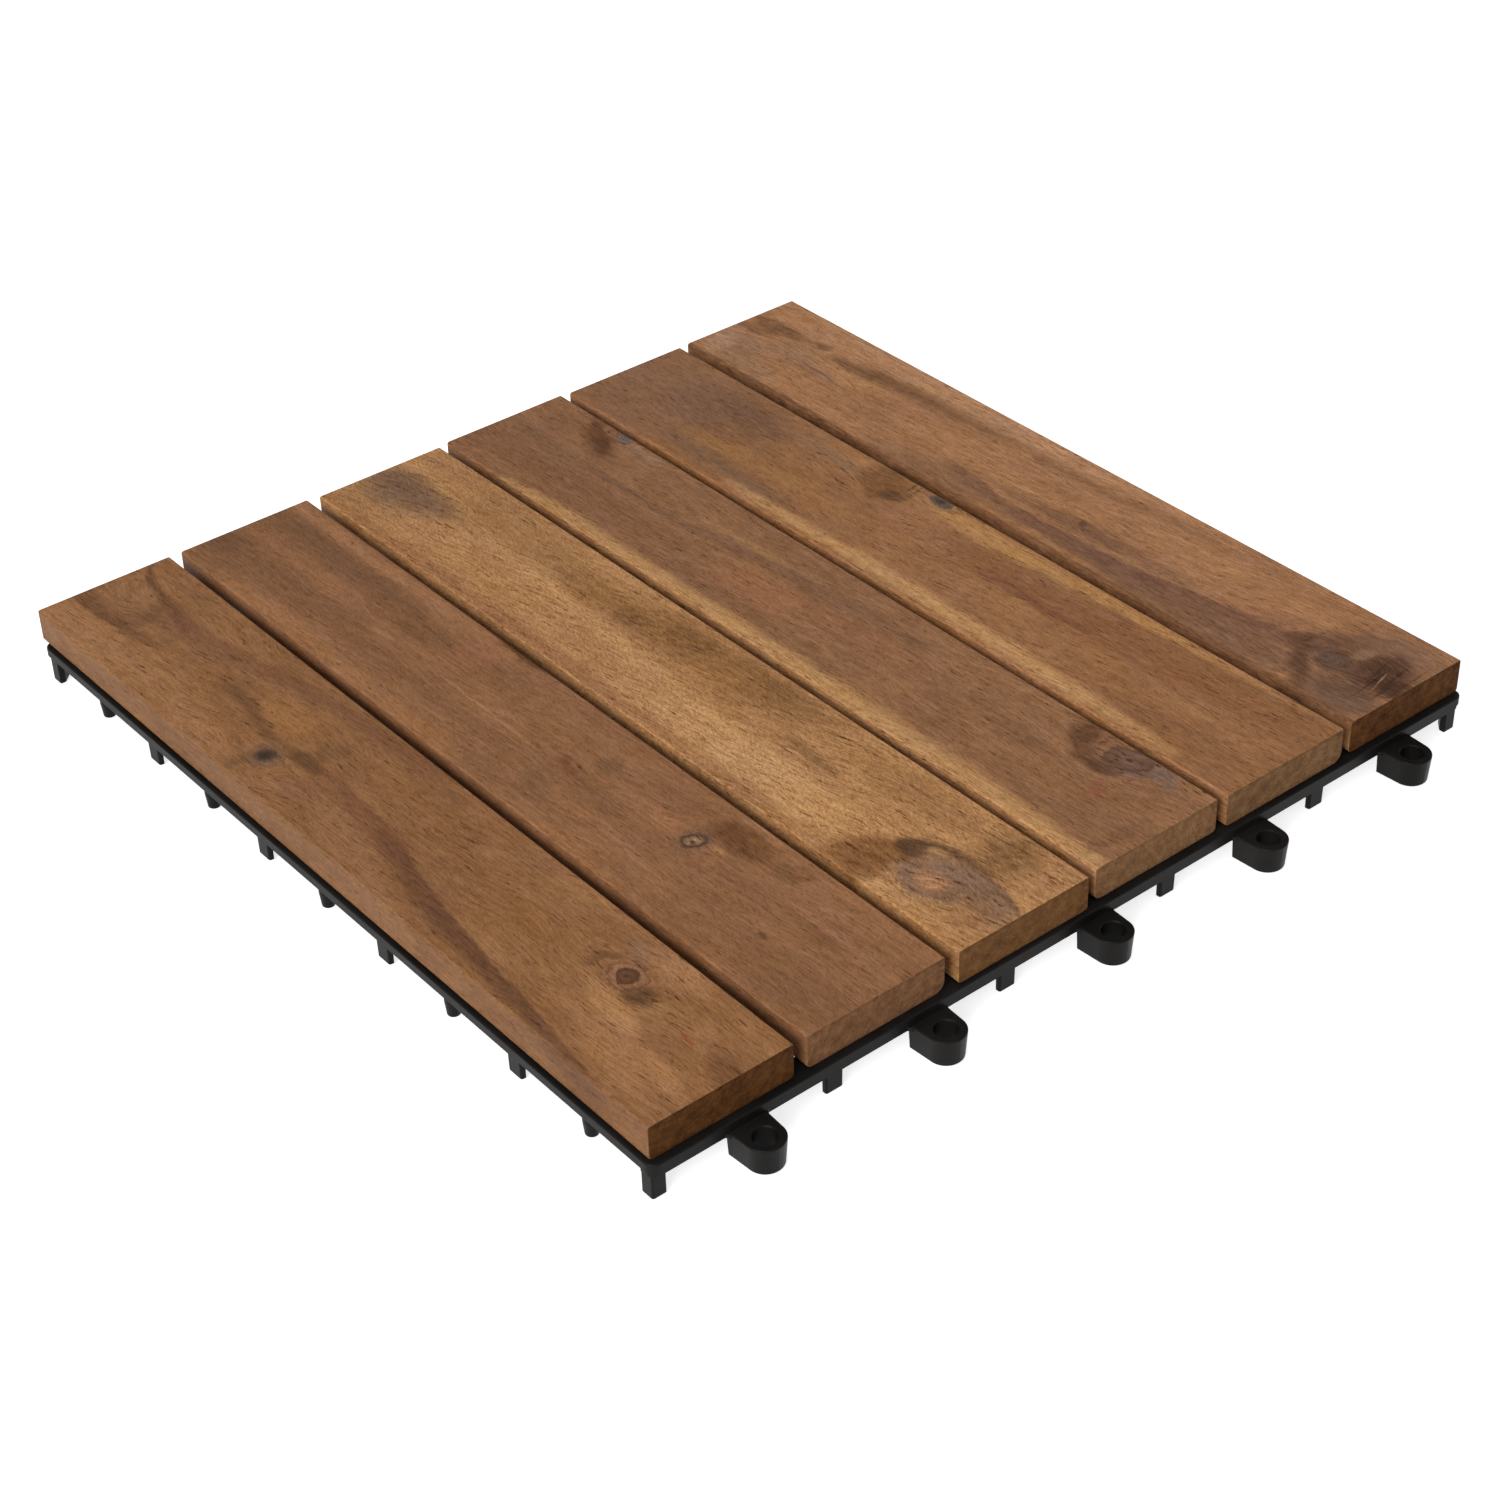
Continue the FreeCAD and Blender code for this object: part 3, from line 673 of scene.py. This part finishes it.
                 (-20.0, 12.0, 1.4, 0.6), (0.0, 14.0, 1.2, 0.0)),
            band((118, 80, 55), 0.1, (-151.0, -10.0, 6.0, 0.6), (-100.0, -9.0, 6.0, 0.75),
                 (-70.0, -8.0, 6.0, 0.7), (-40.0, -8.0, 5.0, 0.4), (-10.0, -8.0, 5.0, 0.0)),
        ),
        "stains": (
            stain((98, 62, 37), (-118.6, 16.0), (13.4, 4.4), 1.0, 0.6, turn=-36),
            stain((84, 52, 30), (-114.6, 13.4), (6.0, 2.0), 0.8, 0.4, turn=-36),
            stain((146, 104, 78), (-120.0, 21.0), (4.6, 1.6), 0.7, 0.5, turn=-30),
            stain((140, 108, 85), (-102.0, 20.0), (11.0, 2.0), 0.75, 0.5, turn=-4),
            stain((150, 98, 66), (-16.0, -3.6), (16.0, 7.6), 0.6, 0.6),
            stain((144, 96, 66), (24.0, 2.6), (26.0, 5.0), 0.5, 0.6),
            stain((86, 55, 35), (117.4, 9.9), (6.0, 2.8), 1.0, 0.5, turn=4),
            stain((92, 59, 37), (104.0, 18.0), (4.4, 6.4), 0.95, 0.55, turn=14),
            stain((100, 67, 44), (108.6, 12.0), (6.0, 3.4), 0.85, 0.55, turn=-46),
            stain((112, 78, 56), (110.6, 18.0), (1.2, 5.6), 0.6, 0.5, turn=8),
            stain((116, 96, 86), (132.6, 19.4), (6.0, 3.4), 0.7, 0.6, turn=-20),
            stain((98, 86, 88), (125.2, 15.2), (5.4, 2.2), 0.85, 0.6, turn=38, kind="speckled"),
            stain((134, 82, 58), (124.8, 0.8), (2.4, 5.0), 0.65, 0.5, turn=8),
            stain((110, 74, 50), (142.8, -10.0), (2.2, 10.0), 0.6, 0.5),
            stain((112, 80, 58), (92.0, 5.0), (16.0, 3.0), 0.45, 0.6, turn=-4, kind="speckled"),
            stain((106, 78, 56), (38.0, 12.6), (7.0, 1.6), 0.7, 0.5, kind="speckled"),
        ),
        "knots": (
            knot((-112.8, 21.6), (3.2, 2.0), heart=(92, 82, 82), edge=(114, 92, 80), ring=(96, 70, 54),
                 halo=(118, 89, 68), turn=-10, halo_reach=1.9, halo_strength=0.85),
            knot((120.8, 17.8), (5.0, 3.6), heart=(120, 85, 64), edge=(106, 80, 66), ring=(92, 64, 48),
                 halo=(114, 80, 60), turn=24, rings=6.2, halo_reach=2.3, halo_strength=0.95, pith=0.7),
        ),
    },
    "slat_5": {
        "middle_x": -1.4,
        "tones": ((124, 84, 54), (144, 100, 65), (162, 116, 77)),
        "end": ((110, 76, 48), (158, 119, 80)),
        "pith": (10.0, -30.0),
        # Painted light: this slat's -Y side is lightened.
        "side": 1.15,
        "fibre": 1.3,
        "pores": 0.6,
        "swirl": ((-16.0, 22.0, 6.0, 0.9), (-33.0, 14.0, 6.0, 0.5)),
        "bands": (
            band((178, 130, 80), -0.35, (-24.0, 19.0, 1.6, 0.0), (-8.0, 18.6, 3.4, 0.8),
                 (0.0, 18.2, 4.0, 0.9), (24.0, 19.0, 3.6, 0.9), (50.0, 19.8, 3.0, 0.85),
                 (80.0, 20.8, 2.4, 0.8), (110.0, 21.6, 1.8, 0.6), (150.0, 22.4, 1.0, 0.2)),
            band((188, 142, 94), 0.0, (-72.0, -21.0, 1.4, 0.0), (-56.0, -20.2, 2.2, 0.8),
                 (-24.0, -20.2, 2.4, 0.9), (0.0, -19.6, 3.0, 1.0), (40.0, -19.6, 3.1, 1.0),
                 (76.0, -19.8, 2.9, 0.95), (104.0, -20.2, 2.4, 0.8), (128.0, -21.4, 1.6, 0.3)),
            band((134, 88, 56), 0.2, (-10.0, 8.0, 3.0, 0.2), (14.0, 7.6, 4.4, 0.7), (45.0, 7.6, 5.0, 0.8),
                 (85.0, 9.0, 5.4, 0.75), (120.0, 9.0, 6.0, 0.6), (151.0, 8.0, 6.0, 0.6)),
            band((116, 72, 50), 0.0, (20.0, 3.6, 1.6, 0.0), (36.0, 3.4, 2.0, 0.75), (50.0, 3.0, 1.8, 0.8),
                 (66.0, 3.6, 1.6, 0.4), (90.0, 3.0, 1.2, 0.3), (120.0, 0.0, 0.8, 0.3),
                 (151.0, -1.0, 0.8, 0.3)),
            band((154, 108, 63), 0.0, (-114.0, -9.0, 2.0, 0.0), (-98.0, -8.0, 3.0, 0.7),
                 (-76.0, -7.0, 3.6, 0.75), (-50.0, -5.0, 4.0, 0.6), (-20.0, -4.0, 4.0, 0.0)),
            band((118, 88, 66), 0.0, (-112.0, -16.4, 2.0, 0.1), (-96.0, -16.4, 2.6, 0.8),
                 (-72.0, -16.2, 2.8, 0.75), (-54.0, -16.6, 2.2, 0.5), (-36.0, -17.0, 2.0, 0.0)),
        ),
        "stains": (
            stain((129, 94, 71), (-130.0, 2.0), (32.0, 24.0), 0.75, 0.5),
            stain((118, 84, 61), (-101.0, 8.0), (25.0, 11.4), 0.9, 0.6, turn=6, kind="speckled"),
            stain((110, 77, 57), (-92.0, 10.6), (12.0, 6.0), 0.5, 0.6, kind="speckled"),
            stain((134, 104, 78), (-60.0, 15.0), (15.0, 3.0), 0.6, 0.5, turn=-5),
            stain((122, 81, 46), (-35.6, 15.6), (10.4, 6.6), 0.95, 0.45, turn=-8),
            stain((90, 61, 38), (-28.4, 12.2), (4.6, 2.5), 1.0, 0.5, turn=10),
            stain((100, 70, 40), (-28.0, 20.2), (0.6, 3.0), 0.85, 0.4, turn=4),
            stain((110, 76, 44), (-25.4, 20.2), (0.5, 2.8), 0.8, 0.4, turn=4),
            stain((108, 76, 42), (-40.0, 21.4), (6.0, 1.0), 0.75, 0.4),
            stain((112, 76, 46), (-33.0, 8.6), (4.0, 2.2), 0.55, 0.5, turn=-30),
            stain((116, 74, 46), (-32.0, 2.9), (10.0, 0.35), 0.7, 0.4),
            stain((158, 112, 76), (-12.0, 12.0), (12.0, 4.0), 0.5, 0.6),
            stain((162, 113, 78), (-8.0, 3.6), (15.0, 5.0), 0.55, 0.6),
        ),
        "knots": (
            knot((-15.6, 21.4), (3.8, 2.0), heart=(70, 60, 56), edge=(88, 72, 62), ring=(98, 74, 58),
                 halo=(134, 104, 82), halo_reach=2.4, halo_strength=0.8, pith=0.5),
        ),
    },
    "slat_6": {
        "middle_x": -1.9,
        "tones": ((134, 92, 61), (158, 112, 77), (174, 126, 87)),
        "end": ((60, 30, 10), (120, 76, 36)),
        "pith": (-8.0, 30.0),
        "streak": 0.45,
        "fibre": 1.4,
        "pores": 0.6,
        "swirl": ((126.6, -3.6, 12.0, 0.95), (20.0, -9.0, 5.0, 0.4)),
        "bands": (
            band((110, 75, 57), 0.62, (-32.0, -10.6, 1.6, 0.2), (-20.0, -12.6, 2.4, 0.8),
                 (0.0, -15.6, 3.0, 0.85), (20.0, -15.9, 3.3, 0.9), (40.0, -15.3, 3.6, 0.95),
                 (60.0, -13.4, 3.8, 0.95), (80.0, -10.4, 4.2, 0.9), (95.0, -8.0, 4.4, 0.85),
                 (112.0, -5.6, 4.4, 0.6)),
            band((112, 80, 60), 0.0, (40.0, -19.6, 2.4, 0.0), (60.0, -19.0, 4.0, 0.75),
                 (80.0, -18.4, 4.6, 0.8), (100.0, -16.6, 6.0, 0.8), (120.0, -15.0, 7.0, 0.75)),
            band((114, 80, 57), 0.3, (-12.0, -9.0, 1.0, 0.0), (2.0, -8.6, 2.2, 0.55),
                 (16.0, -7.4, 3.2, 0.75), (30.0, -6.6, 3.6, 0.75), (44.0, -6.2, 3.2, 0.6),
                 (62.0, -6.6, 2.6, 0.5), (80.0, -6.0, 2.0, 0.0)),
            band((172, 126, 82), 0.2, (-24.0, -7.4, 0.6, 0.0), (-16.0, -5.6, 0.8, 0.7),
                 (-4.0, -3.8, 0.7, 0.6), (10.0, -2.6, 0.7, 0.5), (30.0, -1.6, 0.8, 0.0)),
            band((110, 75, 47), 0.0, (-112.0, 8.0, 1.4, 0.1), (-102.0, 8.6, 3.0, 0.8),
                 (-90.0, 9.4, 3.6, 0.9), (-80.0, 10.6, 3.8, 0.8), (-60.0, 12.6, 4.0, 0.7),
                 (-40.0, 15.0, 3.8, 0.7), (-20.0, 15.4, 3.0, 0.5), (10.0, 15.0, 2.6, 0.4),
                 (50.0, 16.0, 2.4, 0.0)),
            band((120, 78, 46), 0.0, (-151.0, 19.2, 1.0, 0.5), (-136.0, 18.8, 1.4, 0.8),
                 (-120.0, 18.3, 1.5, 0.85), (-106.0, 18.2, 1.3, 0.8), (-96.0, 19.0, 0.9, 0.5),
                 (-70.0, 20.0, 0.9, 0.5), (-40.0, 20.6, 0.8, 0.0)),
            band((106, 86, 78), 0.0, (-122.0, -2.2, 0.4, 0.3), (-110.0, -2.6, 0.5, 0.75),
                 (-98.0, -3.6, 0.5, 0.7), (-88.0, -4.6, 0.4, 0.0)),
            band((100, 66, 42), 0.0, (-151.0, -23.0, 1.1, 0.95), (-60.0, -23.1, 1.1, 0.9),
                 (0.0, -23.0, 1.1, 0.8), (60.0, -23.0, 1.1, 0.85), (151.0, -23.0, 1.0, 0.95)),
            band((168, 118, 70), 0.0, (-10.0, -20.6, 1.0, 0.0), (10.0, -20.8, 1.3, 0.4),
                 (40.0, -21.0, 1.0, 0.35), (64.0, -21.4, 0.8, 0.0)),
        ),
        "stains": (
            stain((186, 139, 103), (-60.0, 20.0), (96.0, 5.4), 0.75, 0.6),
            stain((180, 132, 96), (-118.0, 12.6), (22.0, 4.4), 0.6, 0.6),
            stain((114, 80, 56), (-30.0, -18.6), (24.0, 5.0), 0.65, 0.6),
            stain((172, 124, 84), (-97.0, -10.6), (14.0, 5.0), 0.55, 0.6),
            stain((102, 69, 44), (-136.0, 7.6), (12.0, 3.2), 0.9, 0.5, turn=4, kind="speckled"),
            stain((118, 78, 50), (-142.0, 1.8), (8.0, 3.4), 0.85, 0.4, turn=14, kind="speckled"),
            stain((110, 75, 48), (-119.0, 9.4), (5.0, 2.2), 0.8, 0.5, turn=12, kind="speckled"),
            stain((152, 116, 89), (-118.0, 0.6), (13.0, 4.4), 0.7, 0.6, turn=4, kind="speckled"),
            stain((150, 114, 90), (-138.0, -7.0), (12.0, 5.0), 0.65, 0.5),
            stain((176, 136, 108), (-143.6, -13.6), (5.0, 6.4), 0.8, 0.5, turn=20),
            stain((148, 115, 88), (-127.0, -17.0), (14.0, 4.0), 0.6, 0.5),
            stain((172, 124, 80), (-92.0, 2.4), (24.0, 2.6), 0.6, 0.6, turn=3),
            stain((170, 120, 82), (-134.0, 16.6), (12.0, 4.0), 0.6, 0.5),
            stain((170, 122, 84), (60.0, 9.0), (40.0, 6.0), 0.45, 0.6),
            stain((128, 88, 58), (40.0, 18.0), (22.0, 2.4), 0.5, 0.6, kind="speckled"),
            stain((90, 62, 44), (24.4, -5.2), (2.2, 1.0), 0.95, 0.4, turn=-20),
            stain((94, 62, 40), (113.0, -2.6), (5.4, 4.4), 0.9, 0.45),
            stain((102, 70, 49), (120.6, 3.8), (13.0, 6.4), 0.95, 0.6, turn=42),
            stain((90, 60, 41), (121.0, -13.2), (12.4, 3.2), 0.95, 0.6, turn=-51),
            stain((126, 93, 72), (138.0, 12.0), (13.0, 9.6), 0.8, 0.5),
            stain((76, 49, 35), (140.2, -0.6), (11.6, 9.0), 1.0, 0.5),
            stain((80, 52, 35), (137.6, 6.0), (7.0, 5.4), 0.85, 0.45, turn=60, kind="speckled"),
            stain((70, 44, 29), (145.6, -2.6), (4.6, 4.2), 0.9, 0.4),
            stain((101, 73, 57), (138.6, -15.0), (13.0, 8.0), 0.95, 0.5),
            stain((122, 91, 74), (141.0, -17.0), (6.0, 3.0), 0.5, 0.6, turn=20, kind="speckled"),
            stain((150, 114, 88), (129.4, 4.6), (1.6, 4.4), 0.7, 0.5, turn=-28),
            stain((60, 38, 27), (137.8, 1.0), (0.5, 6.0), 0.75, 0.6, turn=12, kind="line"),
            stain((58, 36, 26), (140.0, -4.0), (0.5, 6.4), 0.75, 0.6, turn=6, kind="line"),
            stain((60, 38, 28), (143.2, 2.0), (0.5, 7.0), 0.75, 0.6, turn=8, kind="line"),
            stain((60, 38, 28), (145.2, -4.4), (0.5, 5.4), 0.75, 0.6, turn=2, kind="line"),
            stain((64, 42, 31), (147.4, 3.0), (0.4, 8.0), 0.6, 0.6, turn=3, kind="line"),
            stain((158, 122, 98), (140.9, -0.8), (0.28, 3.0), 0.8, 0.5, turn=14, kind="line"),
            stain((150, 114, 90), (142.4, -6.4), (0.24, 2.4), 0.7, 0.5, turn=10, kind="line"),
        ),
        "knots": (
            knot((125.8, -3.6), (4.8, 4.2), heart=(98, 74, 63), edge=(96, 70, 56), ring=(88, 61, 46),
                 halo=(102, 73, 56), rings=3.4, ring_reach=2.4, halo_reach=2.2, halo_strength=0.95),
        ),
    },
}


PLASTIC_TONES = ((18, 17, 16), (25, 23, 22))
PLASTIC_DUST = (38, 36, 35)
DUST_STRENGTH = 0.25
PLASTIC_ROUGH = (0.36, 0.52)
PLASTIC_SPECULAR = 0.09
PLASTIC_BUMP = 0.00006
PLASTIC_BUMP_STRENGTH = 0.35
STEEL_TONES = ((166, 166, 160), (196, 197, 198))
STEEL_ROUGH = (0.28, 0.42)
STEEL_BUMP = 0.00002
STEEL_BUMP_STRENGTH = 0.3


def plastic():
    """Black moulded polypropylene: fine spark texture, faint flow marks and dust in the grain."""
    g = Graph(bpy.data.materials.new("grid_plastic"))
    local = g.vector("SCALE", g.node("ShaderNodeTexCoord").outputs["Object"], MM)
    spark = g.texture("plastic_spark", local)
    flow_marks = g.texture("plastic_flow", local)
    dust = g.ease(g.texture("plastic_dust", local), 0.52, 0.75)
    dark, light = PLASTIC_TONES
    color = g.mix(g.ease(flow_marks, 0.35, 0.65), linear(dark), linear(light))
    color = g.mix(g.times(dust, DUST_STRENGTH), color, linear(PLASTIC_DUST))
    rough = g.ease(g.add(g.times(spark, 0.5), g.times(flow_marks, 0.5)), 0.3, 0.7, *PLASTIC_ROUGH)
    return g.surface(color, rough, spark, PLASTIC_BUMP, PLASTIC_BUMP_STRENGTH,
                     Specular_IOR_Level=PLASTIC_SPECULAR)


def steel():
    """Zinc plate: a dull silver with faint clouds and a fine, even grain."""
    g = Graph(bpy.data.materials.new("screw_steel"))
    local = g.vector("SCALE", g.node("ShaderNodeTexCoord").outputs["Object"], MM)
    clouds = g.texture("steel_cloud", local)
    plate = g.texture("steel_plate", local)
    dark, light = STEEL_TONES
    color = g.mix(g.ease(clouds, 0.35, 0.7), linear(dark), linear(light))
    rough = g.ease(plate, 0.3, 0.7, *STEEL_ROUGH)
    return g.surface(color, rough, plate, STEEL_BUMP, STEEL_BUMP_STRENGTH, Metallic=1.0)


def dress(obj, material):
    obj.data.materials.clear()
    obj.data.materials.append(material)


SLAT_PITCH = 50.3  # each slat's share of the row, in millimetres

for i, (name, look) in enumerate(looks.items()):
    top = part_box(name)[1][2]
    slat_y = (i - (len(looks) - 1) / 2.0) * SLAT_PITCH
    centre = (look["middle_x"] / MM, slat_y / MM, top)
    dress(nodes[name], Wood(name + "_wood", centre, look, float(i + 1)).build())

black = plastic()
zinc = steel()
dress(nodes["base_grid"], black)
for name, obj in nodes.items():
    if name.endswith("_screws"):
        dress(obj, zinc)


FLOOR_SIZE = 14.0
FLOOR_DROP = 0.0004  # keeps the feet's flat ends clear of the floor
FLOOR_GREY = 0.62
FLOOR_GLOW = 0.78  # makes up the lit grey floor to white, for the camera and mirrors only
PAINTED_SHADOW_EDGE = (0.126, 0.138)  # how far from the middle the glow sets in: there is none under the tile, a painted shadow there
WORLD_LIGHT = 0.28  # how brightly the world lights the tile
SWEEP = (0.40, 0.20)  # the heights between which a mirror sees the world turn white
WHITE = (1.0, 1.0, 1.0, 1.0)


def floor_material():
    """White where the camera sees it, with the tile's own soft shadow, and a painted shadow under the tile
    where the glow is cut away.
    """
    g = Graph(bpy.data.materials.new("floor_white"))
    path = g.node("ShaderNodeLightPath").outputs
    seen = g.math("MAXIMUM", path["Is Camera Ray"], path["Is Glossy Ray"])
    seen = g.math("MAXIMUM", seen, path["Is Transmission Ray"])
    diffuse = g.node("ShaderNodeBsdfDiffuse")
    diffuse.inputs["Color"].default_value = (FLOOR_GREY, FLOOR_GREY, FLOOR_GREY, 1.0)
    glow = g.node("ShaderNodeEmission")
    glow.inputs["Color"].default_value = WHITE
    x, y, _ = g.split(g.node("ShaderNodeTexCoord").outputs["Object"])
    reach = g.math("MAXIMUM", g.math("ABSOLUTE", x), g.math("ABSOLUTE", y))
    # Painted shadow: the glow fades out under the tile, so the floor there reads darker.
    g.put(glow.inputs["Strength"], g.times(seen, g.ease(reach, *PAINTED_SHADOW_EDGE, 0.0, FLOOR_GLOW)))
    both = g.node("ShaderNodeAddShader")
    g.put(both.inputs[0], diffuse.outputs[0])
    g.put(both.inputs[1], glow.outputs[0])
    g.put(g.node("ShaderNodeOutputMaterial").inputs[0], both.outputs[0])
    return g.owner


def studio():
    """A world that is white to the camera, and to mirrors a white sweep under a dimmer ceiling."""
    g = Graph(bpy.data.worlds.new("studio"))
    path = g.node("ShaderNodeLightPath").outputs
    height = g.split(g.node("ShaderNodeTexCoord").outputs["Generated"])[2]
    mirrored = g.math("MAXIMUM", path["Is Glossy Ray"], path["Is Transmission Ray"])
    mirrored = g.times(mirrored, g.ease(height, *SWEEP, smooth=False))
    bright = g.math("MAXIMUM", path["Is Camera Ray"], mirrored)
    background = g.node("ShaderNodeBackground")
    background.inputs["Color"].default_value = WHITE
    g.put(background.inputs["Strength"], g.math("MAXIMUM", bright, WORLD_LIGHT))
    g.put(g.node("ShaderNodeOutputWorld").inputs[0], background.outputs[0])
    return g.owner


def soft_box(name, place, size, watts):
    """A square lamp that faces the middle of the tile."""
    data = bpy.data.lights.new(name, "AREA")
    data.shape = "SQUARE"
    data.size = size
    data.energy = watts
    lamp = bpy.data.objects.new(name, data)
    bpy.context.scene.collection.objects.link(lamp)
    lamp.location = place
    lamp.rotation_euler = (-Vector(place)).to_track_quat("-Z", "Y").to_euler()


bpy.ops.mesh.primitive_plane_add(size=FLOOR_SIZE, location=(0.0, 0.0, -FLOOR_DROP))
floor = bpy.context.object
floor.name = "floor"
dress(floor, floor_material())
bpy.context.scene.world = studio()
soft_box("key", (0.77, -1.76, 1.14), 1.1, 38.0)
soft_box("top", (0.0, -0.30, 2.0), 1.2, 14.0)

# The camera was fitted to the corners of the slats and the feet in the photograph.
CAMERA_PLACE = (0.57274, -0.45306, 0.51384)
CAMERA_RIGHT = (0.63643, 0.77098, -0.02351)
CAMERA_UP = (-0.44198, 0.38949, 0.80805)
LENS = 71.54
SENSOR = 36.0
NEAREST = 0.01

camera = bpy.data.objects.new("camera", bpy.data.cameras.new("camera"))
bpy.context.scene.collection.objects.link(camera)
right = Vector(CAMERA_RIGHT).normalized()
back = right.cross(Vector(CAMERA_UP)).normalized()
turn = Matrix((right, back.cross(right), back)).transposed().to_4x4()
camera.matrix_world = Matrix.Translation(CAMERA_PLACE) @ turn
camera.data.sensor_fit = "VERTICAL"
camera.data.sensor_height = SENSOR
camera.data.lens = LENS
camera.data.clip_start = NEAREST
bpy.context.scene.camera = camera

bpy.context.scene.view_settings.view_transform = "Standard"
